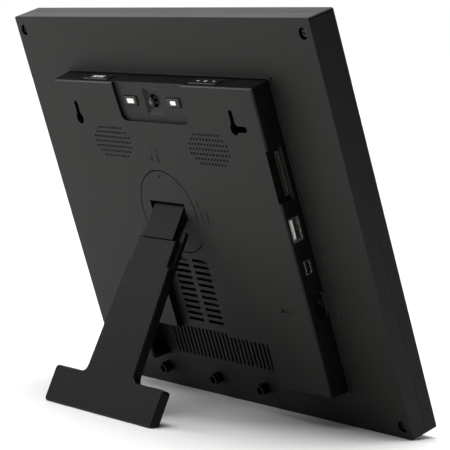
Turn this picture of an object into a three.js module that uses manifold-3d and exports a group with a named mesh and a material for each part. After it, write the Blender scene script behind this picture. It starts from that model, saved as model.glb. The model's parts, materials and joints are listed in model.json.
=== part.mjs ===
// Digital photo frame with a folding stand on a turntable.
//
// Millimetres. The housing is drawn flat, as seen from behind: x to the right, y up from the
// bottom edge, z out of the rear face. One group then leans it back onto its stand, so in the
// finished object +Z is up, the screen faces -Y and the stand is on the +Y side.

import * as THREE from 'three';
import { mergeVertices } from 'three/addons/utils/BufferGeometryUtils.js';
import Module from 'manifold-3d';

// ---------------------------------------------------------------- driving dimensions

const GAP = 0.3; // between pieces that touch
const RUNNING_GAP = 0.4; // between pieces that slide or turn
const TURN_GAP = 0.7; // round the turntable

// housing
const FRAME_WIDTH = 296;
const FRAME_HEIGHT = 247.5;
const SHELL_DEPTH = 9.4;
const BEZEL_DEPTH = 8.8;
const SHELL_WALL = 2.2;
const SHELL_CORNER = 1.5;
const BEZEL_CORNER = 1.5;
const BEZEL_CHAMFER = 0.5;

// picture side
const SCREEN_WIDTH = 211.2; // 10.4 inch panel, 4:3
const SCREEN_HEIGHT = 158.4;
const BEZEL_BORDER = 25;
const BEZEL_LIP = 3;
const BEZEL_FACE = 2.5;
const GLASS_THICKNESS = 2;
const MAT_THICKNESS = 1.4;
const PANEL_THICKNESS = 1.8;
const PANEL_MARGIN = 10;
const CHASSIS_DEPTH = 5;

// electronics cover on the back
const COVER_WIDTH = 202.6;
const COVER_BOTTOM = 23.3;
const COVER_TOP = 212.1;
const COVER_DEPTH = 13.3;
const COVER_WALL = 2;
const COVER_DRAFT = 1.1;
const COVER_EDGE = 0.7;
const COVER_CORNER = 1.5;
const LIP_WIDTH = 1.1;
const LIP_HEIGHT = 1;

// turntable and stand
const TURN_X = -12.3;
const TURN_Y = 129;
const TURN_RADIUS = 27;
const RETAINER_RIM = 10.5; // how far the retaining ring reaches past the turntable
const CHANNEL_WIDTH = 52;
const CHANNEL_DEPTH = 4.8;
const CHANNEL_START = 121; // where the channel begins on the turntable
const FOOT_ROOM_WIDTH = 125;
const FOOT_ROOM_TOP = 50;
const POCKET_WIDTH = 35;
const POCKET_TOP = 136.2;
const HINGE_Y = 129.2;
const BARREL_RADIUS = 5.5;
const HINGE_PIN_RADIUS = 1.5;
const ARM_WIDTH = 30;
const OPEN_ANGLE = 42.4; // degrees between the leg and the back of the housing
const LEG_THICKNESS = 5.5;
const LEG_REACH = 130.2; // hinge axis to the end of the foot
const LEG_NECK_WIDTH = 38;
const LEG_TOP_WIDTH = 43.2;
const LEG_BOTTOM_WIDTH = 49;
const SEAM_REACH = 19.6;
const FORK_REACH = 13;
const FORK_END = 36.2;
const FORK_THICKNESS = 2.5;
const FOOT_WIDTH = 113;
const FOOT_HEIGHT = 22.9;
const PAD_LENGTH = 26;
const PAD_WIDTH = 3.2;
const PAD_RECESS = 1.2;
const PAD_RISE = 0.5; // how far the pads stand out of the sole

// hardware
const CORNER_SCREW_INSET = 7.4;
const CORNER_SCREW_TOP = 8.9; // distance of the upper screws from the top edge
const SCREW_SEAT = -3; // floor of the screw holes below the rear face
const SCREW_HEAD_RADIUS = 2.8;
const SCREW_SHANK_RADIUS = 1.4;
const SCREW_HEAD_HEIGHT = 1.8;
const BOSS_RADIUS = 3.6;
const BOSS_HEIGHT = 6;
const BOSS_PLACES = [-81, -27.5, 20];
const BOSS_Y = 13.3;

// grilles and vents
const GRILLE_PITCH = 3;
const GRILLE_HOLE_RADIUS = 0.85;
const GRILLE_ROWS = [9, 11, 13, 13, 13, 11, 9];
const GRILLE_Y = 172.7;
const SPEAKER_PLACES = { left: -52, right: 45.8 };
const VENT_ROWS = 11;
const VENT_PITCH = 4.03;
const VENT_LOWEST = 56.6;
const VENT_WIDTH = 15.5;
const VENT_BAR = 4.7;
const VENT_HEIGHT = 2;
const LOUVRE_COUNT = 27;
const LOUVRE_PITCH = 4;
const LOUVRE_WIDTH = 1.9;
const LOUVRE_BOTTOM = 25.5;
const LOUVRE_TOP = 48;

// controls on the back
const POD_WIDTH = 72;
const POD_BOTTOM = 187;
const POD_DEPTH = 2;
const POD_CORNER = 5;
const CONTROL_X = -1.1;
const CONTROL_Y = 199.5;
const KEY_OFFSET = 21.7;
const KEY_WIDTH = 12.6;
const KEY_HEIGHT = 5.4;
const NAV_WELL_WIDTH = 16;
const NAV_WELL_HEIGHT = 17;
const NAV_HOLE_RADIUS = 4.2;
const KNOB_RADIUS = 2.7;

// controls on the top edge
const TOP_KEY_LENGTH = 26.5;
const TOP_KEY_DEPTH = 7;
const TOP_KEY_Z = 6.9;
const POWER_X = -58;
const VOLUME_X = 51.2;
const TOP_KEY_RISE = 0.5;
const VOLUME_PIN_RADIUS = 0.8;

// sockets in the side, from the bottom edge up
const SIDE_PORTS = {
  dc: { y: 78.5, z: 5.4, length: 17, height: 8.4 },
  mini: { y: 102.8, z: 6.2, length: 8, height: 4 },
  usb: { y: 126.2, z: 7.7, length: 14, height: 6.6 },
  card: { y: 158.9, z: 5.8, length: 26, height: 2.9 },
};
const CARD_NOTCH_LENGTH = 31;
const CARD_NOTCH_FLOOR = 4;
const CARD_NOTCH_DEPTH = 2.6;
const BOARD_THICKNESS = 1.6;

// hanging slots
const HANG_HOLE_RADIUS = 3.7;
const HANG_SLOT_WIDTH = 3.8;
const HANG_SLOT_REACH = 11.5;
const HANG_PLACES = [
  { x: -82, y: 186.6, up: true, side: false },
  { x: 75.6, y: 186.6, up: true, side: true },
];

// blind recess in the lower right of the cover
const RECESS = { x: 80.2, y: 76.2, length: 11, height: 3, depth: 0.8 };

// ---------------------------------------------------------------- derived dimensions

const COVER_HEIGHT = COVER_TOP - COVER_BOTTOM;
const COVER_MIDDLE = (COVER_TOP + COVER_BOTTOM) / 2;
const COVER_UNDERSIDE = COVER_DEPTH - COVER_WALL;
const CHANNEL_FLOOR = COVER_DEPTH - CHANNEL_DEPTH;
const CHANNEL_UNDERSIDE = CHANNEL_FLOOR - 1.8;
const HINGE_Z = CHANNEL_FLOOR + GAP + LEG_THICKNESS - BARREL_RADIUS;
const POCKET_FLOOR = HINGE_Z - BARREL_RADIUS - RUNNING_GAP;
const TURN_BOTTOM = POCKET_FLOOR - 1.5;
const FLANGE_TOP = CHANNEL_UNDERSIDE - GAP;
const FLANGE_BOTTOM = FLANGE_TOP - 2;
const SHELL_FRONT = -SHELL_DEPTH;
const BEZEL_BACK = SHELL_FRONT - GAP;
const BEZEL_FRONT = BEZEL_BACK - BEZEL_DEPTH;
const WINDOW_WIDTH = FRAME_WIDTH - 2 * BEZEL_BORDER;
const WINDOW_HEIGHT = FRAME_HEIGHT - 2 * BEZEL_BORDER;
const RABBET_WIDTH = WINDOW_WIDTH + 2 * BEZEL_LIP;
const RABBET_HEIGHT = WINDOW_HEIGHT + 2 * BEZEL_LIP;
const PANEL_WIDTH = SCREEN_WIDTH + 2 * PANEL_MARGIN;
const PANEL_HEIGHT = SCREEN_HEIGHT + 2 * PANEL_MARGIN;
const GLASS_BACK = BEZEL_FRONT + BEZEL_FACE + GAP + GLASS_THICKNESS;
const MAT_BACK = GLASS_BACK + GAP + MAT_THICKNESS;
const PANEL_BACK = MAT_BACK + GAP + PANEL_THICKNESS;
const CHASSIS_BACK = PANEL_BACK + GAP + CHASSIS_DEPTH;
const TOP_KEY_Y = COVER_TOP - COVER_DRAFT / 2;
const TOP_KEY_LOW = -COVER_WALL - 3.4;
const VOLUME_PIN_DEPTH = -COVER_WALL - 1.7;
const TOP_BOARD_TOP = TOP_KEY_Z - TOP_KEY_DEPTH / 2 - 0.6;
const KEY_PLACES = [CONTROL_X - KEY_OFFSET, CONTROL_X + KEY_OFFSET];
const LEG_OUTER = BARREL_RADIUS;
const LEG_INNER = LEG_OUTER - LEG_THICKNESS;
const BOARD_TOP = SIDE_PORTS.mini.z - SIDE_PORTS.mini.height / 2 - GAP;

// ---------------------------------------------------------------- solids

const wasm = await Module();
wasm.setup();

function toSolid(geometry) {
  const bare = geometry.clone();
  bare.deleteAttribute('normal');
  bare.deleteAttribute('uv');
  const welded = mergeVertices(bare, 1e-4);
  const mesh = new wasm.Mesh({
    numProp: 3,
    vertProperties: Float32Array.from(welded.attributes.position.array),
    triVerts: Uint32Array.from(welded.index.array),
  });
  return new wasm.Manifold(mesh);
}

function toGeometry(solid) {
  const mesh = solid.getMesh();
  const geometry = new THREE.BufferGeometry();
  geometry.setAttribute('position', new THREE.BufferAttribute(mesh.vertProperties, 3));
  geometry.setIndex(new THREE.BufferAttribute(mesh.triVerts, 1));
  const flat = geometry.toNonIndexed();
  flat.computeVertexNormals();
  return flat;
}

function fuse(first, ...others) {
  return others.flat().reduce((sum, geometry) => sum.add(toSolid(geometry)), first);
}

function carve(solid, ...cutters) {
  return cutters.flat().reduce((rest, geometry) => rest.subtract(toSolid(geometry)), solid);
}

// ---------------------------------------------------------------- basic shapes

function boxBetween(x, y, z) {
  const geometry = new THREE.BoxGeometry(x[1] - x[0], y[1] - y[0], z[1] - z[0]);
  return geometry.translate((x[0] + x[1]) / 2, (y[0] + y[1]) / 2, (z[0] + z[1]) / 2);
}

function boxAround(centre, size) {
  return new THREE.BoxGeometry(...size).translate(...centre);
}

function rod(radius, z, x = 0, y = 0, sides = 32) {
  const geometry = new THREE.CylinderGeometry(radius, radius, z[1] - z[0], sides);
  return geometry.rotateX(Math.PI / 2).translate(x, y, (z[0] + z[1]) / 2);
}

function crossRod(radius, length, y, z, sides = 32) {
  const geometry = new THREE.CylinderGeometry(radius, radius, length, sides);
  return geometry.rotateZ(Math.PI / 2).translate(0, y, z);
}

// A closed outline through the points, each corner rounded by its own radius.
function outline(points) {
  const shape = new THREE.Shape();
  points.forEach(([x, y, radius], index) => {
    const corner = new THREE.Vector2(x, y);
    const before = points[(index + points.length - 1) % points.length];
    const after = points[(index + 1) % points.length];
    const toBefore = new THREE.Vector2(before[0] - x, before[1] - y).setLength(radius);
    const toAfter = new THREE.Vector2(after[0] - x, after[1] - y).setLength(radius);
    const start = corner.clone().add(toBefore);
    const end = corner.clone().add(toAfter);
    if (index === 0) {
      shape.moveTo(start.x, start.y);
    } else {
      shape.lineTo(start.x, start.y);
    }
    if (radius > 0) {
      shape.quadraticCurveTo(x, y, end.x, end.y);
    }
  });
  shape.closePath();
  return shape;
}

function rectangle(width, height, radius, x = 0, y = 0) {
  const right = width / 2;
  const top = height / 2;
  const corners = [[-right, -top], [right, -top], [right, top], [-right, top]];
  return outline(corners.map(([cx, cy]) => [x + cx, y + cy, radius]));
}

function slab(shape, z, curveSegments = 4) {
  const depth = z[1] - z[0];
  const geometry = new THREE.ExtrudeGeometry(shape, { depth, bevelEnabled: false, curveSegments });
  return geometry.translate(0, 0, z[0]);
}

// A slab whose outline shrinks evenly by `inset` over the last `run` before its top.
function sloped(shape, z, inset, run, curveSegments = 4) {
  const settings = {
    depth: z[1] - z[0],
    bevelEnabled: true,
    bevelThickness: run,
    bevelSize: inset,
    bevelOffset: -inset,
    bevelSegments: 1,
    curveSegments,
  };
  const geometry = new THREE.ExtrudeGeometry(shape, settings);
  return geometry.translate(0, 0, z[1] - run - settings.depth);
}

function above(solid, z) {
  return solid.subtract(toSolid(boxBetween([-500, 500], [-500, 500], [z - 200, z])));
}

function below(solid, z) {
  return solid.subtract(toSolid(boxBetween([-500, 500], [-500, 500], [z, z + 200])));
}

// ---------------------------------------------------------------- materials and meshes

function plastic(color, roughness) {
  return new THREE.MeshStandardMaterial({ color, roughness, metalness: 0 });
}

function metal(color, roughness) {
  return new THREE.MeshStandardMaterial({ color, roughness, metalness: 1 });
}

const HOUSING_GREY = 0x2f2f2d;
const SATIN_BLACK = 0x161616;
const RUBBER_BLACK = 0x1a1a1a;
const BOARD_GREEN = 0x1d4a2f;
const LABEL_WHITE = 0xe4e4e0;

function part(name, shape, material, position = [0, 0, 0]) {
  const geometry = shape.isBufferGeometry ? shape : toGeometry(shape);
  const mesh = new THREE.Mesh(geometry, material);
  mesh.name = name;
  mesh.position.set(...position);
  return mesh;
}

// ---------------------------------------------------------------- picture side

function cornerPlaces() {
  const x = FRAME_WIDTH / 2 - CORNER_SCREW_INSET;
  const low = CORNER_SCREW_INSET;
  const high = FRAME_HEIGHT - CORNER_SCREW_TOP;
  return { top_left: [-x, high], top_right: [x, high], bottom_left: [-x, low], bottom_right: [x, low] };
}

function frontBezel() {
  const middle = FRAME_HEIGHT / 2;
  const face = sloped(
    rectangle(FRAME_WIDTH, FRAME_HEIGHT, BEZEL_CORNER),
    [0, BEZEL_DEPTH],
    BEZEL_CHAMFER,
    BEZEL_CHAMFER,
  );
  face.rotateY(Math.PI).translate(0, middle, BEZEL_BACK);
  const floor = BEZEL_FRONT + BEZEL_FACE;
  const room = 200;
  const wall = 2.4;
  const hollow = slab(
    rectangle(FRAME_WIDTH - 2 * wall, FRAME_HEIGHT - 2 * wall, 0.5, 0, middle),
    [floor, BEZEL_BACK + room],
  );
  const rabbetWall = slab(
    rectangle(RABBET_WIDTH + 2 * wall, RABBET_HEIGHT + 2 * wall, 0.5, 0, middle),
    [floor - 1, BEZEL_BACK - GAP],
  );
  const rabbet = slab(rectangle(RABBET_WIDTH, RABBET_HEIGHT, 0.5, 0, middle), [floor, BEZEL_BACK + room]);
  const window = slab(
    rectangle(WINDOW_WIDTH, WINDOW_HEIGHT, 0.5, 0, middle),
    [BEZEL_FRONT - room, BEZEL_BACK + room],
  );
  let bezel = below(toSolid(face), BEZEL_BACK);
  bezel = carve(bezel, hollow);
  bezel = fuse(bezel, rabbetWall);
  for (const [x, y] of Object.values(cornerPlaces())) {
    bezel = fuse(bezel, rod(4.6, [floor - 1, BEZEL_BACK - GAP], x, y, 16));
  }
  for (const [x, y] of Object.values(cornerPlaces())) {
    bezel = carve(bezel, rod(SCREW_SHANK_RADIUS + GAP, [floor + 0.8, BEZEL_BACK + 1], x, y, 16));
  }
  return part('front_bezel', carve(bezel, rabbet, window), plastic(SATIN_BLACK, 0.42));
}

function coverGlass() {
  const clear = new THREE.MeshStandardMaterial({
    color: 0xf4f8f8,
    roughness: 0.05,
    metalness: 0,
    transparent: true,
    opacity: 0.25,
  });
  const shape = rectangle(RABBET_WIDTH - 2 * GAP, RABBET_HEIGHT - 2 * GAP, 0.5);
  const sheet = slab(shape, [0, GLASS_THICKNESS]);
  return part('cover_glass', sheet, clear, [0, FRAME_HEIGHT / 2, GLASS_BACK - GLASS_THICKNESS]);
}

function matBoard() {
  const middle = FRAME_HEIGHT / 2;
  const board = slab(
    rectangle(RABBET_WIDTH - 2 * GAP, RABBET_HEIGHT - 2 * GAP, 0.5, 0, middle),
    [MAT_BACK - MAT_THICKNESS, MAT_BACK],
  );
  const opening = sloped(
    rectangle(SCREEN_WIDTH + 2 * (MAT_THICKNESS + 1), SCREEN_HEIGHT + 2 * (MAT_THICKNESS + 1), 0),
    [-2, MAT_THICKNESS + 1],
    MAT_THICKNESS + 1,
    MAT_THICKNESS + 1,
  );
  opening.translate(0, middle, MAT_BACK - MAT_THICKNESS);
  return part('mat_board', carve(toSolid(board), opening), plastic(0xdedbd0, 0.9));
}

function lcdPanel() {
  const sheet = slab(rectangle(PANEL_WIDTH, PANEL_HEIGHT, 0), [0, PANEL_THICKNESS]);
  const place = [0, FRAME_HEIGHT / 2, PANEL_BACK - PANEL_THICKNESS];
  return part('lcd_panel', sheet, plastic(0x0c0e12, 0.15), place);
}

function lcdChassis() {
  const middle = FRAME_HEIGHT / 2;
  const front = PANEL_BACK + GAP;
  const tray = toSolid(slab(rectangle(PANEL_WIDTH, PANEL_HEIGHT, 0.5, 0, middle), [front, CHASSIS_BACK]));
  const well = slab(
    rectangle(PANEL_WIDTH - 2.4, PANEL_HEIGHT - 2.4, 0.5, 0, middle),
    [front - 1, CHASSIS_BACK - 1.2],
  );
  return part('lcd_chassis', carve(tray, well), metal(0x9a9c9e, 0.4));
}

function lightGuide() {
  const sheet = slab(rectangle(PANEL_WIDTH - 4, PANEL_HEIGHT - 4, 0.5), [0, CHASSIS_DEPTH - 1.8]);
  return part('backlight_guide', sheet, plastic(0xe8ecec, 0.3), [0, FRAME_HEIGHT / 2, PANEL_BACK + GAP]);
}

// ---------------------------------------------------------------- screws

function screw(name, head, length, place) {
  const tip = -length;
  const profile = [
    [0, tip],
    [SCREW_SHANK_RADIUS * 0.6, tip],
    [SCREW_SHANK_RADIUS, tip + 1.2],
    [SCREW_SHANK_RADIUS, 0],
    [head, 0],
    [head, SCREW_HEAD_HEIGHT * 0.55],
    [head * 0.75, SCREW_HEAD_HEIGHT * 0.9],
    [0, SCREW_HEAD_HEIGHT],
  ];
  const turned = new THREE.LatheGeometry(profile.map(([r, y]) => new THREE.Vector2(r, y)), 12);
  turned.rotateX(Math.PI / 2);
  const blade = [head * 1.2, head * 0.28, 2];
  const cross = [blade, [blade[1], blade[0], blade[2]]];
  const cutters = cross.map((size) => boxAround([0, 0, SCREW_HEAD_HEIGHT], size));
  return part(name, carve(toSolid(turned), cutters), metal(0x55565a, 0.35), place);
}

// ---------------------------------------------------------------- rear shell

function footRoom() {
  return [TURN_X - FOOT_ROOM_WIDTH / 2, TURN_X + FOOT_ROOM_WIDTH / 2];
}

// The cover's footprint: a rectangle with room for the folded foot cut into its lower edge.
function coverOutline(grow = 0, r = COVER_CORNER) {
  const right = COVER_WIDTH / 2 + grow;
  const bottom = COVER_BOTTOM - grow;
  const [roomLeft, roomRight] = footRoom();
  return outline([
    [-right, bottom, r],
    [roomLeft - grow, bottom, r],
    [roomLeft - grow, FOOT_ROOM_TOP - grow, r / 2],
    [roomRight + grow, FOOT_ROOM_TOP - grow, r / 2],
    [roomRight + grow, bottom, r],
    [right, bottom, r],
    [right, COVER_TOP + grow, r],
    [-right, COVER_TOP + grow, r],
  ]);
}

function louvres() {
  const first = TURN_X - ((LOUVRE_COUNT - 1) / 2) * LOUVRE_PITCH;
  const middle = (LOUVRE_BOTTOM + LOUVRE_TOP) / 2;
  const size = [LOUVRE_WIDTH, LOUVRE_TOP - LOUVRE_BOTTOM, SHELL_WALL * 3];
  const places = Array.from({ length: LOUVRE_COUNT }, (_, index) => first + index * LOUVRE_PITCH);
  return places.map((x) => boxAround([x, middle, 0], size));
}

// Small raised marks beside the sockets: a frame, a ring, and a bar over two dots.
function socketMarks() {
  const x = FRAME_WIDTH / 2 - 41;
  const z = [-0.5, 0.35];
  const { mini, dc } = SIDE_PORTS;
  const box = slab(rectangle(2.4, 5, 0.4, x, mini.y + 4), z, 1);
  const ring = rod(2.1, z, x + 1.5, dc.y + 8, 12);
  const bar = boxBetween([x + 0.6, x + 1.2], [dc.y - 10, dc.y - 4], z);
  const dots = [-9.2, -7, -4.8].map((dy) => boxAround([x + 2.4, dc.y + dy, -0.075], [0.6, 1.2, 0.85]));
  return { raised: [box, ring, bar, ...dots], hollow: [rod(1.5, [0, 1], x + 1.5, dc.y + 8, 12)] };
}

function rearShell() {
  const middle = FRAME_HEIGHT / 2;
  const body = slab(rectangle(FRAME_WIDTH, FRAME_HEIGHT, SHELL_CORNER, 0, middle), [SHELL_FRONT, 0]);
  const inside = slab(
    rectangle(FRAME_WIDTH - 2 * SHELL_WALL, FRAME_HEIGHT - 2 * SHELL_WALL, 0.5, 0, middle),
    [SHELL_FRONT - 1, -SHELL_WALL],
  );
  const places = Object.values(cornerPlaces());
  const marks = socketMarks();
  const margin = 4;
  const opening = boxBetween(
    [-COVER_WIDTH / 2 + margin, COVER_WIDTH / 2 - margin],
    [FOOT_ROOM_TOP + margin, COVER_TOP - margin],
    [-SHELL_WALL - 1, 2],
  );
  let shell = carve(toSolid(body), inside);
  shell = fuse(shell, places.map(([x, y]) => rod(5.6, [SCREW_SEAT - 2, -0.5], x, y, 24)));
  shell = fuse(shell, slab(coverOutline(GAP + LIP_WIDTH), [-0.5, LIP_HEIGHT]));
  shell = carve(shell, slab(coverOutline(GAP), [0, 5]));
  const [roomLeft, roomRight] = footRoom();
  const lipGap = GAP + LIP_WIDTH + 0.1;
  shell = carve(
    shell,
    boxBetween([roomLeft + lipGap, roomRight - lipGap], [COVER_BOTTOM - 5, FOOT_ROOM_TOP - lipGap], [0, 5]),
  );
  shell = carve(shell, opening, louvres());
  shell = fuse(shell, BOSS_PLACES.map((x) => rod(BOSS_RADIUS, [-0.5, BOSS_HEIGHT], x, BOSS_Y, 20)));
  shell = fuse(shell, marks.raised);
  shell = carve(shell, marks.hollow);
  for (const x of BOSS_PLACES) {
    shell = carve(shell, rod(2.6, [2, BOSS_HEIGHT + 1], x, BOSS_Y, 20));
    shell = carve(shell, rod(SCREW_SHANK_RADIUS + GAP, [-3, 3], x, BOSS_Y, 12));
  }
  for (const [x, y] of places) {
    shell = carve(shell, rod(SCREW_HEAD_RADIUS + 0.7, [SCREW_SEAT, 1], x, y, 24));
    shell = carve(shell, rod(SCREW_SHANK_RADIUS + GAP, [SCREW_SEAT - 5, SCREW_SEAT + 1], x, y, 12));
  }
  return part('rear_shell', shell, plastic(HOUSING_GREY, 0.62));
}

function cornerScrews() {
  const seat = SCREW_SEAT + GAP;
  const length = seat - (BEZEL_FRONT + BEZEL_FACE) - 1.4;
  const screws = Object.entries(cornerPlaces());
  return screws.map(([corner, [x, y]]) => screw(`screw_${corner}`, SCREW_HEAD_RADIUS, length, [x, y, seat]));
}

function bossScrews() {
  return BOSS_PLACES.map((x, index) => screw(`boss_screw_${index + 1}`, 2.2, 4, [x, BOSS_Y, 2 + GAP]));
}

// ---------------------------------------------------------------- electronics cover

function channelCut(y) {
  const half = CHANNEL_WIDTH / 2;
  return boxBetween([TURN_X - half, TURN_X + half], y, [CHANNEL_FLOOR, COVER_DEPTH + 5]);
}

function speakerGrille(centre) {
  const middleRow = (GRILLE_ROWS.length - 1) / 2;
  return GRILLE_ROWS.flatMap((count, row) => {
    const y = GRILLE_Y + (middleRow - row) * GRILLE_PITCH;
    const first = centre - ((count - 1) / 2) * GRILLE_PITCH;
    const columns = Array.from({ length: count }, (_, index) => first + index * GRILLE_PITCH);
    return columns.map((x) => rod(GRILLE_HOLE_RADIUS, [COVER_UNDERSIDE - 1, COVER_DEPTH + 1], x, y, 6));
  });
}

function channelVents() {
  const offset = (VENT_WIDTH + VENT_BAR) / 2;
  return Array.from({ length: VENT_ROWS }, (_, row) => VENT_LOWEST + row * VENT_PITCH).flatMap((y) =>
    [-offset, offset].map((dx) => boxAround([TURN_X + dx, y, CHANNEL_FLOOR], [VENT_WIDTH, VENT_HEIGHT, 6])),
  );
}

function hangingSlot({ x, y, up, side }) {
  const z = [COVER_UNDERSIDE - 1, COVER_DEPTH + 1];
  const half = HANG_SLOT_WIDTH / 2;
  const cutters = [rod(HANG_HOLE_RADIUS, z, x, y, 20)];
  if (up) {
    cutters.push(boxBetween([x - half, x + half], [y, y + HANG_SLOT_REACH - half], z));
    cutters.push(rod(half, z, x, y + HANG_SLOT_REACH - half, 12));
  }
  if (side) {
    cutters.push(boxBetween([x, x + HANG_SLOT_REACH - half], [y - half, y + half], z));
    cutters.push(rod(half, z, x + HANG_SLOT_REACH - half, y, 12));
  }
  return cutters;
}

function blindRecess() {
  const { x, y, length, height, depth } = RECESS;
  const shape = rectangle(length, height, height / 2 - 0.1, x, y);
  return slab(shape, [COVER_DEPTH - depth, COVER_DEPTH + 1]);
}

// The sunk control area is open at the top edge and has rounded lower corners.
function controlPodCut() {
  const half = POD_WIDTH / 2;
  const shape = outline([
    [CONTROL_X - half + 2, POD_BOTTOM, POD_CORNER],
    [CONTROL_X + half - 2, POD_BOTTOM, POD_CORNER],
    [CONTROL_X + half, COVER_TOP + 10, 0],
    [CONTROL_X - half, COVER_TOP + 10, 0],
  ]);
  return slab(shape, [COVER_DEPTH - POD_DEPTH, COVER_DEPTH + 5]);
}

function podFloor() {
  const half = POD_WIDTH / 2 + 1.2;
  const floor = COVER_DEPTH - POD_DEPTH - COVER_WALL;
  const across = [CONTROL_X - half, CONTROL_X + half];
  return boxBetween(across, [POD_BOTTOM - COVER_WALL, COVER_TOP - 1.6], [floor, COVER_DEPTH - 1]);
}

// A four-sided funnel down to the joystick's round hole.
function navWell() {
  const top = COVER_DEPTH - POD_DEPTH;
  const funnel = new THREE.CylinderGeometry(NAV_WELL_WIDTH / Math.SQRT2, 7.4, 1.6, 4);
  funnel.rotateY(Math.PI / 4).rotateX(Math.PI / 2);
  funnel.scale(1, NAV_WELL_HEIGHT / NAV_WELL_WIDTH, 1);
  return [
    funnel.translate(CONTROL_X, CONTROL_Y, top - 0.75),
    rod(NAV_HOLE_RADIUS, [0, COVER_DEPTH], CONTROL_X, CONTROL_Y, 24),
  ];
}

function keyCut(x) {
  const size = [KEY_WIDTH + 2 * RUNNING_GAP, KEY_HEIGHT + 2 * RUNNING_GAP, 8];
  return boxAround([x, CONTROL_Y, COVER_DEPTH - POD_DEPTH], size);
}

function topKeyCut(x) {
  const size = [TOP_KEY_LENGTH + 2 * RUNNING_GAP, 12, TOP_KEY_DEPTH + 2 * RUNNING_GAP];
  return boxAround([x, COVER_TOP, TOP_KEY_Z], size);
}

function sideCut({ y, z, length, height }, grow) {
  return boxAround([COVER_WIDTH / 2, y, z], [14, length + 2 * grow, height + 2 * grow]);
}

// Round-ended recess for the power socket, standing in the side wall.
function powerSocketCut() {
  const { y, z, length, height } = SIDE_PORTS.dc;
  const recess = slab(rectangle(height, length, height / 2 - 0.1), [-0.8, 3]);
  const hole = rod(3, [-12, 3], 0, 0, 20);
  const cutters = [recess, hole];
  return cutters.map((cutter) => cutter.rotateY(Math.PI / 2).translate(COVER_WIDTH / 2 - 0.5, y, z));
}

// Thumb recess at the card slot, cut through the rear edge, with its own inner wall.
function cardNotch() {
  const { y } = SIDE_PORTS.card;
  const side = COVER_WIDTH / 2;
  const half = CARD_NOTCH_LENGTH / 2;
  const wall = boxBetween(
    [side - CARD_NOTCH_DEPTH - COVER_WALL - 0.6, side - 1.4],
    [y - half - COVER_WALL, y + half + COVER_WALL],
    [CARD_NOTCH_FLOOR - 1.5, COVER_DEPTH - 1],
  );
  const cut = boxBetween(
    [side - CARD_NOTCH_DEPTH, side + 5],
    [y - half, y + half],
    [CARD_NOTCH_FLOOR, COVER_DEPTH + 5],
  );
  return { wall, cut };
}

// Raised outline of a frame with one line beside it, for the way the turntable's dot points.
function orientationMark(x, y, size, lineAt, lineSize) {
  const z = [COVER_DEPTH - 0.5, COVER_DEPTH + 0.3];
  const line = 0.6;
  const [width, height] = size;
  const frame = toSolid(slab(rectangle(width, height, 0), z));
  const open = slab(rectangle(width - 2 * line, height - 2 * line, 0), [COVER_DEPTH, COVER_DEPTH + 1]);
  const mark = carve(frame, open).add(toSolid(slab(rectangle(...lineSize, 0, ...lineAt), z)));
  return mark.translate([x, y, 0]);
}

function retainerPlaces() {
  const radius = TURN_RADIUS + RETAINER_RIM - 3.3;
  return [30, 150, 270].map((degrees) => {
    const angle = THREE.MathUtils.degToRad(degrees);
    return [TURN_X + radius * Math.cos(angle), TURN_Y + radius * Math.sin(angle)];
  });
}

function coverShell() {
  const draft = sloped(coverOutline(0, 0), [-COVER_DEPTH, COVER_DEPTH], COVER_DRAFT, COVER_DEPTH);
  const edge = COVER_DRAFT + COVER_EDGE;
  const chamfer = sloped(coverOutline(0, 0), [-COVER_DEPTH, COVER_DEPTH], edge, edge);
  const corners = slab(coverOutline(), [0, COVER_DEPTH]);
  const inside = sloped(
    coverOutline(-COVER_WALL, 0),
    [-COVER_DEPTH, COVER_UNDERSIDE],
    COVER_DRAFT,
    COVER_DEPTH,
  );
  const outside = toSolid(draft).intersect(toSolid(chamfer)).intersect(toSolid(corners));
  return above(carve(outside, inside), GAP);
}

function turntableRing() {
  const hole = TURN_RADIUS + TURN_GAP;
  const collar = rod(hole + 2, [CHANNEL_UNDERSIDE, COVER_UNDERSIDE + 1], TURN_X, TURN_Y, 48);
  const bore = rod(hole, [0, COVER_DEPTH + 2], TURN_X, TURN_Y, 64);
  return { collar, bore };
}

function channelTray() {
  const half = CHANNEL_WIDTH / 2 + COVER_WALL - 0.2;
  return boxBetween(
    [TURN_X - half, TURN_X + half],
    [FOOT_ROOM_TOP + 0.8, TURN_Y],
    [CHANNEL_UNDERSIDE, COVER_DEPTH - 1],
  );
}

function electronicsCover() {
  const { collar, bore } = turntableRing();
  const { wall, cut } = cardNotch();
  const { mini, usb, card } = SIDE_PORTS;
  const bossTop = COVER_UNDERSIDE + 0.5;
  const lowTop = CHANNEL_UNDERSIDE + 0.5;
  let cover = coverShell();
  cover = fuse(cover, channelTray(), collar, podFloor(), wall);
  for (const [x, y] of retainerPlaces()) {
    const top = y < TURN_Y ? lowTop : bossTop;
    cover = fuse(cover, rod(2.6, [FLANGE_BOTTOM, top], x, y, 16));
    cover = carve(cover, rod(1.2, [FLANGE_BOTTOM - 1, lowTop - 0.8], x, y, 10));
  }
  cover = carve(cover, channelCut([0, CHANNEL_START]), bore, channelVents());
  cover = carve(cover, speakerGrille(SPEAKER_PLACES.left), speakerGrille(SPEAKER_PLACES.right));
  cover = carve(cover, HANG_PLACES.flatMap(hangingSlot), blindRecess());
  cover = carve(cover, controlPodCut(), navWell(), KEY_PLACES.map(keyCut));
  cover = carve(cover, topKeyCut(POWER_X), topKeyCut(VOLUME_X));
  cover = carve(cover, cut, sideCut(mini, GAP), sideCut(usb, GAP), sideCut(card, GAP), powerSocketCut());
  const markAbove = TURN_Y + TURN_RADIUS + 8;
  const markBeside = TURN_X + TURN_RADIUS + 8.5;
  cover = cover.add(orientationMark(TURN_X, markAbove, [7, 5], [0, 5], [9, 0.8]));
  cover = cover.add(orientationMark(markBeside, TURN_Y, [6, 7], [-4.5, 7.5], [0.8, 5]));
  return part('electronics_cover', cover, plastic(HOUSING_GREY, 0.6));
}

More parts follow.
